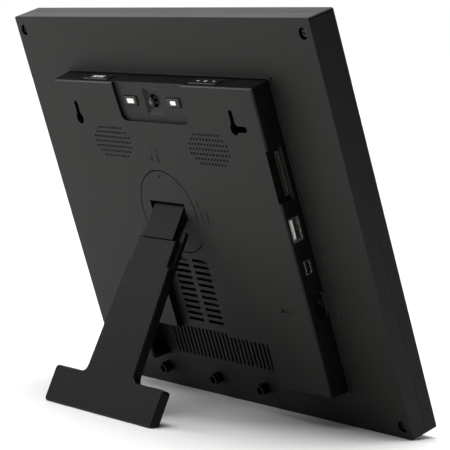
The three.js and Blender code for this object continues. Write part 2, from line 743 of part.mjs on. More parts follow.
// ---------------------------------------------------------------- boards and sockets

function mainBoard() {
  const left = TURN_X + TURN_RADIUS + RETAINER_RIM + 1.5;
  const right = COVER_WIDTH / 2 - COVER_DRAFT - COVER_WALL - 1;
  const { dc, card } = SIDE_PORTS;
  const top = card.y - CARD_NOTCH_LENGTH / 2 - COVER_WALL - 1;
  const board = boxBetween([left, right], [66, top], [BOARD_TOP - BOARD_THICKNESS, BOARD_TOP]);
  const jackGap = boxBetween([right - 13, right + 5], [dc.y - 5.4, dc.y + 5.4], [0, 9]);
  return part('main_board', carve(toSolid(board), jackGap), plastic(BOARD_GREEN, 0.5));
}

function cardBoard() {
  const right = COVER_WIDTH / 2 - COVER_DRAFT - COVER_WALL - CARD_NOTCH_DEPTH - 1.4;
  const { y } = SIDE_PORTS.card;
  const board = boxBetween(
    [right - 32, right],
    [y - CARD_NOTCH_LENGTH / 2, y + 18],
    [BOARD_TOP - BOARD_THICKNESS, BOARD_TOP],
  );
  return part('card_board', board, plastic(BOARD_GREEN, 0.5));
}

function processor() {
  const chip = slab(rectangle(20, 20, 0.6), [0, 1.6], 1);
  return part('processor', chip, plastic(0x17181a, 0.45), [52, 108, BOARD_TOP + GAP]);
}

// A folded metal shell, open towards the side wall, with its own back wall.
function socketShell(port, reach, wall) {
  const mouth = COVER_WIDTH / 2 - 0.9;
  const { y, z, length, height } = port;
  const body = boxBetween(
    [mouth - reach, mouth],
    [y - length / 2, y + length / 2],
    [z - height / 2, z + height / 2],
  );
  const opening = boxBetween(
    [mouth - reach + wall, mouth + 1],
    [y - length / 2 + wall, y + length / 2 - wall],
    [z - height / 2 + wall, z + height / 2 - wall],
  );
  return carve(toSolid(body), opening);
}

function socketTongue(port, reach, thickness, lift) {
  const mouth = COVER_WIDTH / 2 - 2.2;
  const { y, z, length } = port;
  const half = length / 2 - 1.3;
  const low = z + lift - thickness / 2;
  return boxBetween([mouth - reach, mouth], [y - half, y + half], [low, low + thickness]);
}

function usbSocket() {
  const { usb } = SIDE_PORTS;
  return [
    part('usb_shell', socketShell(usb, 14, 0.5), metal(0xc8c9cc, 0.25)),
    part('usb_tongue', socketTongue(usb, 11.8, 1.8, 1), plastic(LABEL_WHITE, 0.5)),
  ];
}

function miniUsbSocket() {
  const { mini } = SIDE_PORTS;
  return [
    part('mini_usb_shell', socketShell(mini, 9, 0.4), metal(0xb8b9bc, 0.3)),
    part('mini_usb_tongue', socketTongue(mini, 6.8, 0.9, 0), plastic(0x222222, 0.5)),
  ];
}

function cardSocket() {
  const { y, z, length, height } = SIDE_PORTS.card;
  const mouth = COVER_WIDTH / 2 - CARD_NOTCH_DEPTH - 0.4;
  const body = boxBetween(
    [mouth - 28, mouth],
    [y - length / 2, y + length / 2],
    [z - height / 2 + GAP, z + height / 2],
  );
  const slot = boxBetween([mouth - 26, mouth + 1], [y - 12.2, y + 12.2], [z - 0.6, z + height / 2 - 0.3]);
  return part('card_socket', carve(toSolid(body), slot), metal(0xbcbdc0, 0.3));
}

function powerSocket() {
  const { y, z } = SIDE_PORTS.dc;
  const mouth = COVER_WIDTH / 2 - COVER_DRAFT - COVER_WALL - 0.2;
  const body = boxBetween([mouth - 12, mouth], [y - 4.6, y + 4.6], [z - 4.2, z + 4.2]);
  const bore = rod(2.8, [-10, 2], 0, 0, 20).rotateY(Math.PI / 2).translate(mouth, y, z);
  const pin = rod(0.9, [-9.7, -2.5], 0, 0, 12).rotateY(Math.PI / 2);
  return [
    part('dc_socket_body', carve(toSolid(body), bore), plastic(0x141414, 0.5)),
    part('dc_socket_pin', pin, metal(0xb9bbbe, 0.3), [mouth, y, z]),
  ];
}

function inverterBoard() {
  const right = TURN_X - TURN_RADIUS - RETAINER_RIM - 8.2;
  const board = boxBetween([right - 34, right], [62, 146], [BOARD_TOP - BOARD_THICKNESS, BOARD_TOP]);
  const coil = boxBetween([right - 26, right - 10], [92, 110], [BOARD_TOP - 0.5, BOARD_TOP + 5]);
  return part('inverter_board', fuse(toSolid(board), coil), plastic(0x1f4d33, 0.55));
}

function speaker(side) {
  const basket = slab(rectangle(42, 24, 6), [3, 6]);
  const magnet = rod(8, [0, 3.5], 0, 0, 24);
  const cone = new THREE.CylinderGeometry(9.5, 5, 2.4, 24).rotateX(Math.PI / 2).translate(0, 0, 4.9);
  const body = carve(fuse(toSolid(basket), magnet), cone);
  const place = [SPEAKER_PLACES[side], GRILLE_Y, COVER_UNDERSIDE - GAP - 6];
  return part(`speaker_${side}`, body, plastic(0x1b1b1c, 0.7), place);
}

// ---------------------------------------------------------------- controls

const CONTROL_BOARD_TOP = 5.2;

function controlBoard() {
  const width = POD_WIDTH - 8;
  const board = boxAround(
    [CONTROL_X, CONTROL_Y, CONTROL_BOARD_TOP - BOARD_THICKNESS / 2],
    [width, 16, BOARD_THICKNESS],
  );
  return part('control_board', board, plastic(BOARD_GREEN, 0.5));
}

function backKey(name, x) {
  const rise = COVER_DEPTH - POD_DEPTH + 0.8;
  const low = CONTROL_BOARD_TOP + 2;
  const flange = COVER_DEPTH - POD_DEPTH - COVER_WALL - GAP;
  const cap = toSolid(sloped(rectangle(KEY_WIDTH, KEY_HEIGHT, 0.8), [low, rise], 0.4, 0.4, 2));
  const skirt = slab(rectangle(KEY_WIDTH + 2.4, KEY_HEIGHT + 2.4, 0.8), [low, flange], 2);
  return part(name, above(fuse(cap, skirt), low), plastic(0x2c2c2b, 0.5), [x, CONTROL_Y, 0]);
}

function keySwitch(name, x) {
  const body = boxBetween([-3, 3], [-3, 3], [0, 1]);
  return part(name, body, plastic(0x202020, 0.5), [x, CONTROL_Y, CONTROL_BOARD_TOP + GAP]);
}

// The joystick presses in on its plunger, tips one way on its rocker and the other on its cap.
function joystick() {
  const seat = CONTROL_BOARD_TOP + GAP;
  const base = carve(toSolid(boxBetween([-3.6, 3.6], [-3.6, 3.6], [0, 1.6])), rod(1.3, [0.4, 2], 0, 0, 16));
  const plunger = rod(1, [0.9, 2.6], 0, 0, 16);
  const rocker = slab(rectangle(3.6, 3.6, 0.4), [2.9, 3.5], 1);
  const knobProfile = [
    [0, 3.8],
    [1.3, 3.8],
    [1.3, 4.8],
    [KNOB_RADIUS, 5.2],
    [KNOB_RADIUS, 6.5],
    [KNOB_RADIUS - 0.6, 6.9],
    [0, 7],
  ];
  const knob = new THREE.LatheGeometry(knobProfile.map(([r, y]) => new THREE.Vector2(r, y)), 28);
  const place = [CONTROL_X, CONTROL_Y, seat];
  return [
    part('joystick_base', base, plastic(0x1c1c1c, 0.5), place),
    part('joystick_plunger', plunger, metal(0xa8a9ac, 0.35), place),
    part('joystick_rocker', rocker, plastic(0x303030, 0.5), place),
    part('joystick_knob', knob.rotateX(Math.PI / 2), plastic(0x3a3a38, 0.5), place),
  ];
}

// Drawn with z along the press direction and its zero at the cover's top wall.
function topKey(name, x, cutters) {
  const low = TOP_KEY_LOW;
  const cap = toSolid(sloped(rectangle(TOP_KEY_LENGTH, TOP_KEY_DEPTH, 1), [low, TOP_KEY_RISE], 0.4, 0.4, 3));
  const skirt = slab(rectangle(TOP_KEY_LENGTH + 1.6, TOP_KEY_DEPTH, 1), [low, -COVER_WALL - 1.3], 3);
  const key = carve(above(fuse(cap, skirt), low), cutters);
  const mesh = part(name, key, plastic(0x2b2b2b, 0.45), [x, TOP_KEY_Y, TOP_KEY_Z]);
  mesh.rotation.x = -Math.PI / 2;
  return mesh;
}

function powerKey() {
  return topKey('power_key', POWER_X, []);
}

function volumeRocker() {
  const bore = crossRod(VOLUME_PIN_RADIUS + GAP, 40, 0, VOLUME_PIN_DEPTH, 16).rotateZ(Math.PI / 2);
  return topKey('volume_rocker', VOLUME_X, [bore]);
}

function volumePin() {
  const z = [TOP_BOARD_TOP + GAP, COVER_UNDERSIDE - GAP];
  const pin = rod(VOLUME_PIN_RADIUS, z, 0, 0, 16);
  return part('volume_pin', pin, metal(0xa5a6a8, 0.3), [VOLUME_X, TOP_KEY_Y + VOLUME_PIN_DEPTH, 0]);
}

// A flat board behind a top key, with one switch standing up for each place.
function topBoard(name, x, switches) {
  const key = TOP_KEY_Y + TOP_KEY_LOW;
  const board = boxBetween(
    [-TOP_KEY_LENGTH / 2 - 2, TOP_KEY_LENGTH / 2 + 2],
    [key - 14, key + 1.6],
    [TOP_BOARD_TOP - BOARD_THICKNESS, TOP_BOARD_TOP],
  );
  const blocks = switches.map((dx) =>
    boxBetween([dx - 3, dx + 3], [key - 4.8, key - 0.8], [TOP_BOARD_TOP - 0.5, TOP_KEY_Z + 1]),
  );
  return part(name, fuse(toSolid(board), blocks), plastic(BOARD_GREEN, 0.5), [x, 0, 0]);
}

function topControls() {
  return [
    powerKey(),
    topBoard('power_board', POWER_X, [0]),
    volumeRocker(),
    volumePin(),
    topBoard('volume_board', VOLUME_X, [-8, 8]),
  ];
}

// ---------------------------------------------------------------- turntable

function turntable() {
  const z = [TURN_BOTTOM, COVER_DEPTH];
  const pocketLeft = [-POCKET_WIDTH / 2, POCKET_WIDTH / 2];
  const wallLeft = [-POCKET_WIDTH / 2 - 2, POCKET_WIDTH / 2 + 2];
  const hingeY = HINGE_Y - TURN_Y;
  const topY = POCKET_TOP - TURN_Y;
  const lowY = hingeY - BARREL_RADIUS - RUNNING_GAP;
  const startY = CHANNEL_START - TURN_Y;
  const rimmed = toSolid(rod(TURN_RADIUS, z, 0, 0, 64));
  const hollow = rod(TURN_RADIUS - 2, [TURN_BOTTOM - 1, COVER_UNDERSIDE], 0, 0, 48);
  const low = toSolid(boxBetween([-40, 40], [-40, startY + 1.8], [CHANNEL_UNDERSIDE, COVER_DEPTH]));
  const lowFloor = low.intersect(toSolid(rod(TURN_RADIUS - 1, z, 0, 0, 48)));
  let body = carve(rimmed, hollow).add(lowFloor);
  body = fuse(body, rod(TURN_RADIUS + 4, [FLANGE_BOTTOM, FLANGE_TOP], 0, 0, 64));
  body = carve(body, rod(TURN_RADIUS - 2, [FLANGE_BOTTOM - 3, FLANGE_TOP], 0, 0, 48));
  body = fuse(body, boxBetween(wallLeft, [lowY - 2, topY + 2], z));
  body = carve(
    body,
    boxBetween([-40, 40], [-40, startY], [CHANNEL_FLOOR, COVER_DEPTH + 1]),
    boxBetween(pocketLeft, [lowY, topY], [POCKET_FLOOR, COVER_DEPTH + 1]),
    boxBetween(pocketLeft, [startY - 1, lowY + 1], [CHANNEL_FLOOR, COVER_DEPTH + 1]),
    crossRod(HINGE_PIN_RADIUS + GAP, POCKET_WIDTH + 2.6, hingeY, HINGE_Z, 20),
    rod(0.8, [COVER_DEPTH - 0.6, COVER_DEPTH + 1], 0, TURN_RADIUS - 3.4, 12),
  );
  return part('turntable', body, plastic(0x30302e, 0.6));
}

function turntableRetainer() {
  const z = [FLANGE_BOTTOM - GAP - 1.6, FLANGE_BOTTOM - GAP];
  const inner = TURN_RADIUS + TURN_GAP;
  let ring = toSolid(rod(TURN_RADIUS + RETAINER_RIM, z, TURN_X, TURN_Y, 48));
  ring = carve(ring, rod(inner, [z[0] - 1, z[1] + 1], TURN_X, TURN_Y, 48));
  ring = carve(ring, retainerPlaces().map(([x, y]) => rod(1.3, [z[0] - 1, z[1] + 1], x, y, 12)));
  return part('turntable_retainer', ring, metal(0x9b9da0, 0.4));
}

function retainerScrews() {
  const z = FLANGE_BOTTOM - 2 * GAP - 1.6;
  return retainerPlaces().map(([x, y], index) => {
    const head = rod(2.1, [-1.2, 0], 0, 0, 12);
    const shank = rod(0.9, [-0.5, 3.8], 0, 0, 10);
    return part(`retainer_screw_${index + 1}`, fuse(toSolid(head), shank), metal(0x8d8f92, 0.35), [x, y, z]);
  });
}

// ---------------------------------------------------------------- stand

// Drawn around the hinge axis: y up the leg, z out of its outer face.
function hingeArm() {
  const half = ARM_WIDTH / 2;
  const barrel = crossRod(BARREL_RADIUS, ARM_WIDTH, 0, 0, 40);
  const block = boxBetween([-half, half], [-SEAM_REACH, 0], [LEG_INNER, LEG_OUTER]);
  const tangHigh = LEG_INNER + 3.8;
  const tang = boxBetween([-10, 10], [-FORK_END + 4, -SEAM_REACH + 1], [LEG_INNER + 1.6, tangHigh]);
  const bore = crossRod(HINGE_PIN_RADIUS + GAP, ARM_WIDTH + 2, 0, 0, 20);
  const arm = carve(fuse(toSolid(barrel), block, tang), bore);
  return part('hinge_arm', arm, plastic(0x2e2e2c, 0.6));
}

function legOutline() {
  const neck = LEG_NECK_WIDTH / 2;
  const top = LEG_TOP_WIDTH / 2;
  const bottom = LEG_BOTTOM_WIDTH / 2;
  const foot = FOOT_WIDTH / 2;
  const start = -SEAM_REACH - GAP;
  const ankle = -LEG_REACH + FOOT_HEIGHT;
  return outline([
    [-neck, start, 0],
    [-neck, -FORK_END, 0],
    [-top, -FORK_END, 0],
    [-bottom, ankle, 5],
    [-foot, ankle, 2.5],
    [-foot, -LEG_REACH, 2.5],
    [foot, -LEG_REACH, 2.5],
    [foot, ankle, 2.5],
    [bottom, ankle, 5],
    [top, -FORK_END, 0],
    [neck, -FORK_END, 0],
    [neck, start, 0],
  ]);
}

function forkPlate() {
  const half = LEG_TOP_WIDTH / 2;
  const gap = ARM_WIDTH / 2 + RUNNING_GAP;
  const prong = SEAM_REACH + GAP;
  const shape = outline([
    [-half, -FORK_END - 1, 0],
    [half, -FORK_END - 1, 0],
    [half, -FORK_REACH, 3],
    [gap, -FORK_REACH, 1],
    [gap, -prong, 0],
    [-gap, -prong, 0],
    [-gap, -FORK_REACH, 1],
    [-half, -FORK_REACH, 3],
  ]);
  return slab(shape, [LEG_INNER, LEG_INNER + FORK_THICKNESS]);
}

// The housing stands on its lower rear edge and on the pads in the foot's flat sole.
function leanAngle() {
  const open = THREE.MathUtils.degToRad(OPEN_ANGLE);
  const y = HINGE_Y - LEG_REACH * Math.cos(open) + LEG_OUTER * Math.sin(open);
  const z = HINGE_Z + LEG_REACH * Math.sin(open) + LEG_OUTER * Math.cos(open);
  return Math.atan2(y, z) - Math.asin(PAD_RISE / Math.hypot(y, z));
}

const LEAN = leanAngle();
const SOLE_SLOPE = THREE.MathUtils.degToRad(OPEN_ANGLE) - LEAN;

// Turns a shape drawn on a level sole to lie along the foot's own sole.
function alongSole(geometry) {
  return geometry.rotateX(SOLE_SLOPE).translate(0, -LEG_REACH, LEG_OUTER);
}

// A block round a pad's place, `grow` wider all round, between two heights above the sole.
function padBlock(side, grow, heights) {
  const x = side * (FOOT_WIDTH / 2 - PAD_LENGTH / 2 - 5);
  const z = -LEG_THICKNESS / Math.cos(SOLE_SLOPE) / 2 - 0.25;
  const across = PAD_LENGTH / 2 + grow;
  const deep = PAD_WIDTH / 2 + grow;
  return alongSole(boxBetween([x - across, x + across], heights, [z - deep, z + deep]));
}

function standLeg() {
  const start = -SEAM_REACH - GAP;
  const body = toSolid(sloped(legOutline(), [LEG_INNER - 2, LEG_OUTER], 0.6, 0.6));
  const socket = boxBetween(
    [-10 - GAP, 10 + GAP],
    [-FORK_END + 4 - GAP, start + 1],
    [LEG_INNER + 1.6 - GAP, LEG_INNER + 3.8 + GAP],
  );
  const underSole = alongSole(boxBetween([-200, 200], [-100, 0], [-60, 60]));
  const recesses = [-1, 1].map((side) => padBlock(side, GAP, [-5, PAD_RECESS]));
  const leg = fuse(above(body, LEG_INNER), forkPlate());
  return part('stand_leg', carve(leg, socket, underSole, recesses), plastic(0x2e2e2c, 0.6));
}

function footPads() {
  return [-1, 1].map((side) => {
    const name = side < 0 ? 'foot_pad_left' : 'foot_pad_right';
    return part(name, padBlock(side, 0, [-PAD_RISE, PAD_RECESS - GAP]), plastic(RUBBER_BLACK, 0.9));
  });
}

function hingePin() {
  const pin = crossRod(HINGE_PIN_RADIUS, POCKET_WIDTH + 2, 0, 0, 20);
  return part('hinge_pin', pin, metal(0xa5a6a8, 0.3));
}

function hingeWashers() {
  const thickness = (POCKET_WIDTH - ARM_WIDTH) / 2 - 2 * GAP;
  return [-1, 1].map((side) => {
    const ring = carve(
      toSolid(crossRod(4, thickness, 0, 0, 24)),
      crossRod(HINGE_PIN_RADIUS + GAP, thickness + 2, 0, 0, 20),
    );
    const x = (side * (POCKET_WIDTH + ARM_WIDTH)) / 4;
    const name = side < 0 ? 'hinge_washer_left' : 'hinge_washer_right';
    return part(name, ring, metal(0x8f9194, 0.35), [x, 0, 0]);
  });
}

// ---------------------------------------------------------------- assembly

function standGroup() {
  const leg = new THREE.Group();
  leg.add(hingeArm(), standLeg(), ...footPads());
  leg.rotation.x = -THREE.MathUtils.degToRad(OPEN_ANGLE);
  const hinge = new THREE.Group();
  hinge.position.set(0, HINGE_Y - TURN_Y, HINGE_Z);
  hinge.add(leg, hingePin(), ...hingeWashers());
  const turning = new THREE.Group();
  turning.position.set(TURN_X, TURN_Y, 0);
  turning.add(turntable(), hinge);
  return turning;
}

function housingGroup() {
  const housing = new THREE.Group();
  housing.add(frontBezel(), coverGlass(), matBoard(), lcdPanel(), lightGuide(), lcdChassis());
  housing.add(rearShell(), ...cornerScrews(), ...bossScrews());
  housing.add(electronicsCover(), mainBoard(), cardBoard(), processor(), inverterBoard());
  housing.add(...usbSocket(), ...miniUsbSocket(), cardSocket(), ...powerSocket());
  housing.add(speaker('left'), speaker('right'), controlBoard());
  housing.add(backKey('key_left', KEY_PLACES[0]), backKey('key_right', KEY_PLACES[1]));
  housing.add(keySwitch('key_switch_left', KEY_PLACES[0]), keySwitch('key_switch_right', KEY_PLACES[1]));
  housing.add(...joystick());
  housing.add(...topControls());
  housing.add(turntableRetainer(), ...retainerScrews());
  return housing;
}

// Leans the housing back about its lower rear edge and turns the screen towards -Y.
function leaning(content) {
  const group = new THREE.Group();
  group.rotation.set(Math.PI / 2 - LEAN, Math.PI, 0);
  group.add(content, standGroup());
  return group;
}

// Puts the middle of the bounding box's underside at the origin.
function settled(content) {
  const bounds = new THREE.Box3().setFromObject(content, true);
  const middle = bounds.getCenter(new THREE.Vector3());
  content.position.set(-middle.x, -middle.y, -bounds.min.z);
  return content;
}

const group = new THREE.Group();
group.name = 'digital_photo_frame';
group.add(settled(leaning(housingGroup())));

export default group;
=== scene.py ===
# %% [markdown]
# # A digital photo frame, seen from behind
# The frame leans back on a T-footed stand that folds out of a turntable in its back cover.
# Nearly everything on the real object is injection-moulded ABS: a spark-textured back, polished
# edges, and small bright sockets in the side. The CAD model already has the shapes, so this
# lesson is mostly about surfaces, plus the small printed and pressed pieces that moulds don't make.

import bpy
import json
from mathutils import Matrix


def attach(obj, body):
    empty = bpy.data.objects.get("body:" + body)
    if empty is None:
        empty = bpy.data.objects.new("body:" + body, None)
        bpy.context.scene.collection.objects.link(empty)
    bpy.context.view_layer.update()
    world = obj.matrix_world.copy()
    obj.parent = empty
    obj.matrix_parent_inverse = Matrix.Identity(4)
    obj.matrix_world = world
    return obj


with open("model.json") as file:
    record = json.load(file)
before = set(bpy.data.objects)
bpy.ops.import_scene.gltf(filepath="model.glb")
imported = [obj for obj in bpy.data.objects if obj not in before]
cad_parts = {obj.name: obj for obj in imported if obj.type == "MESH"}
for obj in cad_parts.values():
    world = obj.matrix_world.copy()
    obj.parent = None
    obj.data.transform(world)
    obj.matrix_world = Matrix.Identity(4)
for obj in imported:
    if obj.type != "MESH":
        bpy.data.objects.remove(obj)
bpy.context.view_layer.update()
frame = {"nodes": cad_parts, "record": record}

# %% Libraries
import json
import math

import bmesh
import bpy
from mathutils import Matrix, Quaternion, Vector

# %% [markdown]
# ## Two places to build in
# The housing leans back, so a piece drawn straight in the world would need leaning by hand.
# The joints say where everything is instead: the turntable turns about the line out of the back,
# and the joystick's two tilts lie along the housing's width and height. Together they make a
# matrix, and every piece is drawn flat, as seen from behind, and then placed by it.

# %% Housing and stand placements
MM = 0.001
JOINTS = {joint["name"]: joint for joint in frame["record"]["behaviour"]["joints"]}


def joint_vector(name, key="axis"):
    return Vector(JOINTS[name][key])


ACROSS = joint_vector("joystick_tilt_up_down").normalized()
UPWARDS = joint_vector("joystick_tilt_left_right").normalized()
OUTWARDS = joint_vector("turntable_turn").normalized()
TURNTABLE = joint_vector("turntable_turn", "pos_m")


def placement(origin, across, upwards, outwards):
    turn = Matrix((across, upwards, outwards)).transposed()
    return Matrix.Translation(origin) @ turn.to_4x4()


HOUSING = placement(TURNTABLE, ACROSS, UPWARDS, OUTWARDS)
print("lean of the housing, degrees:", round(math.degrees(math.acos(UPWARDS.z)), 2))

# %% [markdown]
# ## Measuring the CAD in the housing's own frame
# A leaning piece's box in the world is bigger than the piece. Turning its corners back into the
# housing's frame gives the true middle and size of a key or a socket, so that a printed mark
# lands on it.


# %% Measure a node in the housing's frame
def flat_box(name):
    inverse = HOUSING.inverted()
    corners = [inverse @ vertex.co for vertex in frame["nodes"][name].data.vertices]
    low = Vector([min(c[axis] for c in corners) for axis in range(3)])
    high = Vector([max(c[axis] for c in corners) for axis in range(3)])
    return low, high


def flat_middle(name):
    low, high = flat_box(name)
    return (low + high) / 2


for part in ("key_left", "joystick_knob", "usb_shell", "electronics_cover"):
    print(part, "middle, mm:", [round(v / MM, 1) for v in flat_middle(part)])

# %% [markdown]
# ## Colours and nodes
# Colours are given as on a colour chart, in sRGB, and one function turns them into the linear
# values a shader mixes. One more function adds a node with its settings and its links, so that
# each material below reads as a list of what the surface is made of.


# %% Colour and node helpers
def linear(hex_colour):
    channels = [int(hex_colour[i : i + 2], 16) / 255 for i in (1, 3, 5)]
    return [c / 12.92 if c <= 0.04045 else ((c + 0.055) / 1.055) ** 2.4 for c in channels] + [1.0]


def add(tree, kind, values=None, links=None, **settings):
    node = tree.nodes.new("ShaderNode" + kind)
    for name, value in settings.items():
        setattr(node, name, value)
    for name, value in (values or {}).items():
        node.inputs[name].default_value = value
    for name, socket in (links or {}).items():
        tree.links.new(socket, node.inputs[name])
    return node


def new_material(name):
    material = bpy.data.materials.new(name)
    material.use_nodes = True
    tree = material.node_tree
    tree.nodes.clear()
    return material, tree


def finish_material(tree, shader):
    add(tree, "OutputMaterial", links={"Surface": shader.outputs["BSDF"]})


def per_metre(millimetres):
    """A noise scale that repeats about every so many millimetres."""
    return 1 / (millimetres * MM)


def scaled(colour, factor):
    return [channel * factor for channel in colour[:3]] + [1.0]


ABS_IOR = 1.53
BEVEL_SAMPLES = 4


print("mid grey, linear:", round(linear("#808080")[0], 3))

# %% [markdown]
# ## Spark-textured ABS
# The back of the housing is black ABS moulded against a spark-eroded tool. The spark texture
# scatters light, so the wide faces look a soft dark grey, while the edges and side walls are drawn
# along the tool as it opens and come out smoother, darker and glossier. A normal that points
# out of the back chooses between the two. The real grain is about 0.15 mm, too fine to show
# here, so it is drawn at 0.7 mm. A Bevel node rounds the sharp edges by the half millimetre or so
# that a moulded edge has, which is what catches the light along them. Where its normal parts from
# the flat one there is an edge, and there a painted highlight mixes the colour a little paler. The
# front bezel is the same plastic with its smoother textured face turned forwards.


# %% Moulded ABS
GRAIN = 0.7
GRAIN_DEPTH = 0.02
# The pale grey painted along edges as a painted highlight, and the largest share of it.
EDGE_HIGHLIGHT_COLOUR = "#7a7a76"
MOST_EDGE_HIGHLIGHT = 0.15


def textured_abs(name, face, side, outwards, rough=(0.55, 0.28), gloss=0.16, edge=0.45):
    material, tree = new_material(name)
    place = add(tree, "TexCoord").outputs["Object"]
    normal = add(tree, "TexCoord").outputs["Normal"]
    facing = add(tree, "VectorMath", {1: outwards}, {0: normal}, operation="DOT_PRODUCT")
    mask = add(
        tree, "MapRange", {"From Min": 0.7, "From Max": 0.95}, {"Value": facing.outputs["Value"]}
    )
    cloud = add(tree, "TexNoise", {"Scale": per_metre(60), "Detail": 3.0}, {"Vector": place})
    texture = add(tree, "TexNoise", {"Scale": per_metre(GRAIN), "Detail": 2.0}, {"Vector": place})
    tone = add(
        tree,
        "MapRange",
        {"From Min": 0.3, "From Max": 0.7, "To Min": 0.9, "To Max": 1.1},
        {"Value": cloud.outputs["Fac"]},
    )
    base = add(
        tree,
        "Mix",
        {"A": linear(side), "B": linear(face)},
        {"Factor": mask.outputs["Result"]},
        data_type="RGBA",
    )
    shade = add(
        tree,
        "HueSaturation",
        links={"Color": base.outputs["Result"], "Value": tone.outputs["Result"]},
    )
    roughness = add(
        tree,
        "MapRange",
        {"To Min": rough[1], "To Max": rough[0]},
        {"Value": mask.outputs["Result"]},
    )
    uneven = add(
        tree,
        "Math",
        {1: 0.08},
        {0: cloud.outputs["Fac"], 2: roughness.outputs["Result"]},
        operation="MULTIPLY_ADD",
    )
    round_edges = add(tree, "Bevel", {"Radius": edge * MM}, samples=BEVEL_SAMPLES)
    true_normal = add(tree, "NewGeometry").outputs["True Normal"]
    flatness = add(
        tree,
        "VectorMath",
        links={0: round_edges.outputs["Normal"], 1: true_normal},
        operation="DOT_PRODUCT",
    )
    # Painted highlight: where the rounded normal leaves the flat one, the colour is mixed towards
    # pale grey.
    edge_highlight = add(
        tree,
        "MapRange",
        {"From Min": 0.99, "From Max": 0.8, "To Min": 0.0, "To Max": MOST_EDGE_HIGHLIGHT},
        {"Value": flatness.outputs["Value"]},
    )
    highlighted = add(
        tree,
        "Mix",
        {"B": linear(EDGE_HIGHLIGHT_COLOUR)},
        {"A": shade.outputs["Color"], "Factor": edge_highlight.outputs["Result"]},
        data_type="RGBA",
    )
    bump = add(
        tree,
        "Bump",
        {"Distance": GRAIN_DEPTH * MM},
        {
            "Strength": mask.outputs["Result"],
            "Height": texture.outputs["Fac"],
            "Normal": round_edges.outputs["Normal"],
        },
    )
    shader = add(
        tree,
        "BsdfPrincipled",
        {"IOR": ABS_IOR, "Specular IOR Level": gloss},
        {
            "Base Color": highlighted.outputs["Result"],
            "Roughness": uneven.outputs["Value"],
            "Normal": bump.outputs["Normal"],
        },
    )
    finish_material(tree, shader)
    return material


# The open leg's outer face leans away from the housing's by the fold's whole travel.
LEG_TILT = math.radians(JOINTS["stand_fold"]["range_deg"][1])
LEG_OUTWARDS = Matrix.Rotation(-LEG_TILT, 3, ACROSS) @ OUTWARDS
housing_abs = textured_abs("spark_textured_abs_housing", "#1f1f1d", "#080808", OUTWARDS)
cover_abs = textured_abs("spark_textured_abs_cover", "#1f1f1d", "#050505", OUTWARDS)
bezel_abs = textured_abs("satin_abs_bezel", "#151515", "#050505", -OUTWARDS, rough=(0.32, 0.3))
stand_abs = textured_abs("spark_textured_abs_stand", "#0a0a09", "#060606", LEG_OUTWARDS, gloss=0.12)
print("moulded ABS:", housing_abs.name, cover_abs.name, bezel_abs.name, stand_abs.name)

# %% [markdown]
# ## Satin ABS
# The keys and the small mouldings come from smoother tools. Their surface has no grain, only the
# slight unevenness of shrinking plastic, which bends reflections a little. The same recipe, with
# other colours and roughnesses, serves for the printed ink and the rubber.


# %% Satin ABS
def satin_abs(name, colour, roughness, ripple=18, edge=0.4, gloss=0.5):
    material, tree = new_material(name)
    place = add(tree, "TexCoord").outputs["Object"]
    waves = add(tree, "TexNoise", {"Scale": per_metre(ripple), "Detail": 1.0}, {"Vector": place})
    dust = add(tree, "TexNoise", {"Scale": per_metre(1.5), "Detail": 4.0}, {"Vector": place})
    rough = add(
        tree,
        "MapRange",
        {
            "From Min": 0.35,
            "From Max": 0.65,
            "To Min": roughness - 0.03,
            "To Max": roughness + 0.05,
        },
        {"Value": dust.outputs["Fac"]},
    )
    tint = add(
        tree,
        "Mix",
        {"A": linear(colour), "B": scaled(linear(colour), 1.25)},
        {"Factor": waves.outputs["Fac"]},
        data_type="RGBA",
    )
    round_edges = add(tree, "Bevel", {"Radius": edge * MM}, samples=BEVEL_SAMPLES)
    bump = add(
        tree,
        "Bump",
        {"Distance": 0.05 * MM, "Strength": 0.4},
        {"Height": waves.outputs["Fac"], "Normal": round_edges.outputs["Normal"]},
    )
    shader = add(
        tree,
        "BsdfPrincipled",
        {"IOR": ABS_IOR, "Specular IOR Level": gloss},
        {
            "Base Color": tint.outputs["Result"],
            "Roughness": rough.outputs["Result"],
            "Normal": bump.outputs["Normal"],
        },
    )
    finish_material(tree, shader)
    return material


key_abs = satin_abs("satin_abs_keys", "#131312", 0.42, ripple=6, edge=0.3, gloss=0.2)
black_moulding = satin_abs("black_nylon_moulding", "#141414", 0.5, ripple=5)
white_moulding = satin_abs("white_nylon_moulding", "#e6e4dd", 0.45, ripple=5, edge=0.1)
mark_ink = satin_abs("white_pad_print_ink", "#ecece8", 0.5, ripple=3, edge=0.05)
foot_rubber = satin_abs("black_silicone_rubber", "#191919", 0.8, ripple=4, edge=0.5)
print("satin finishes:", key_abs.name, foot_rubber.name)

# %% [markdown]
# ## Plated and blackened steel
# The USB sockets are pressed from tin-plated steel strip, whose rolling marks run along it. Screws
# are blackened steel, and the card socket is dull nickel. All are metals, so the colour is the
# reflection's colour, and fine streaks stretched along one direction make the brushed look.


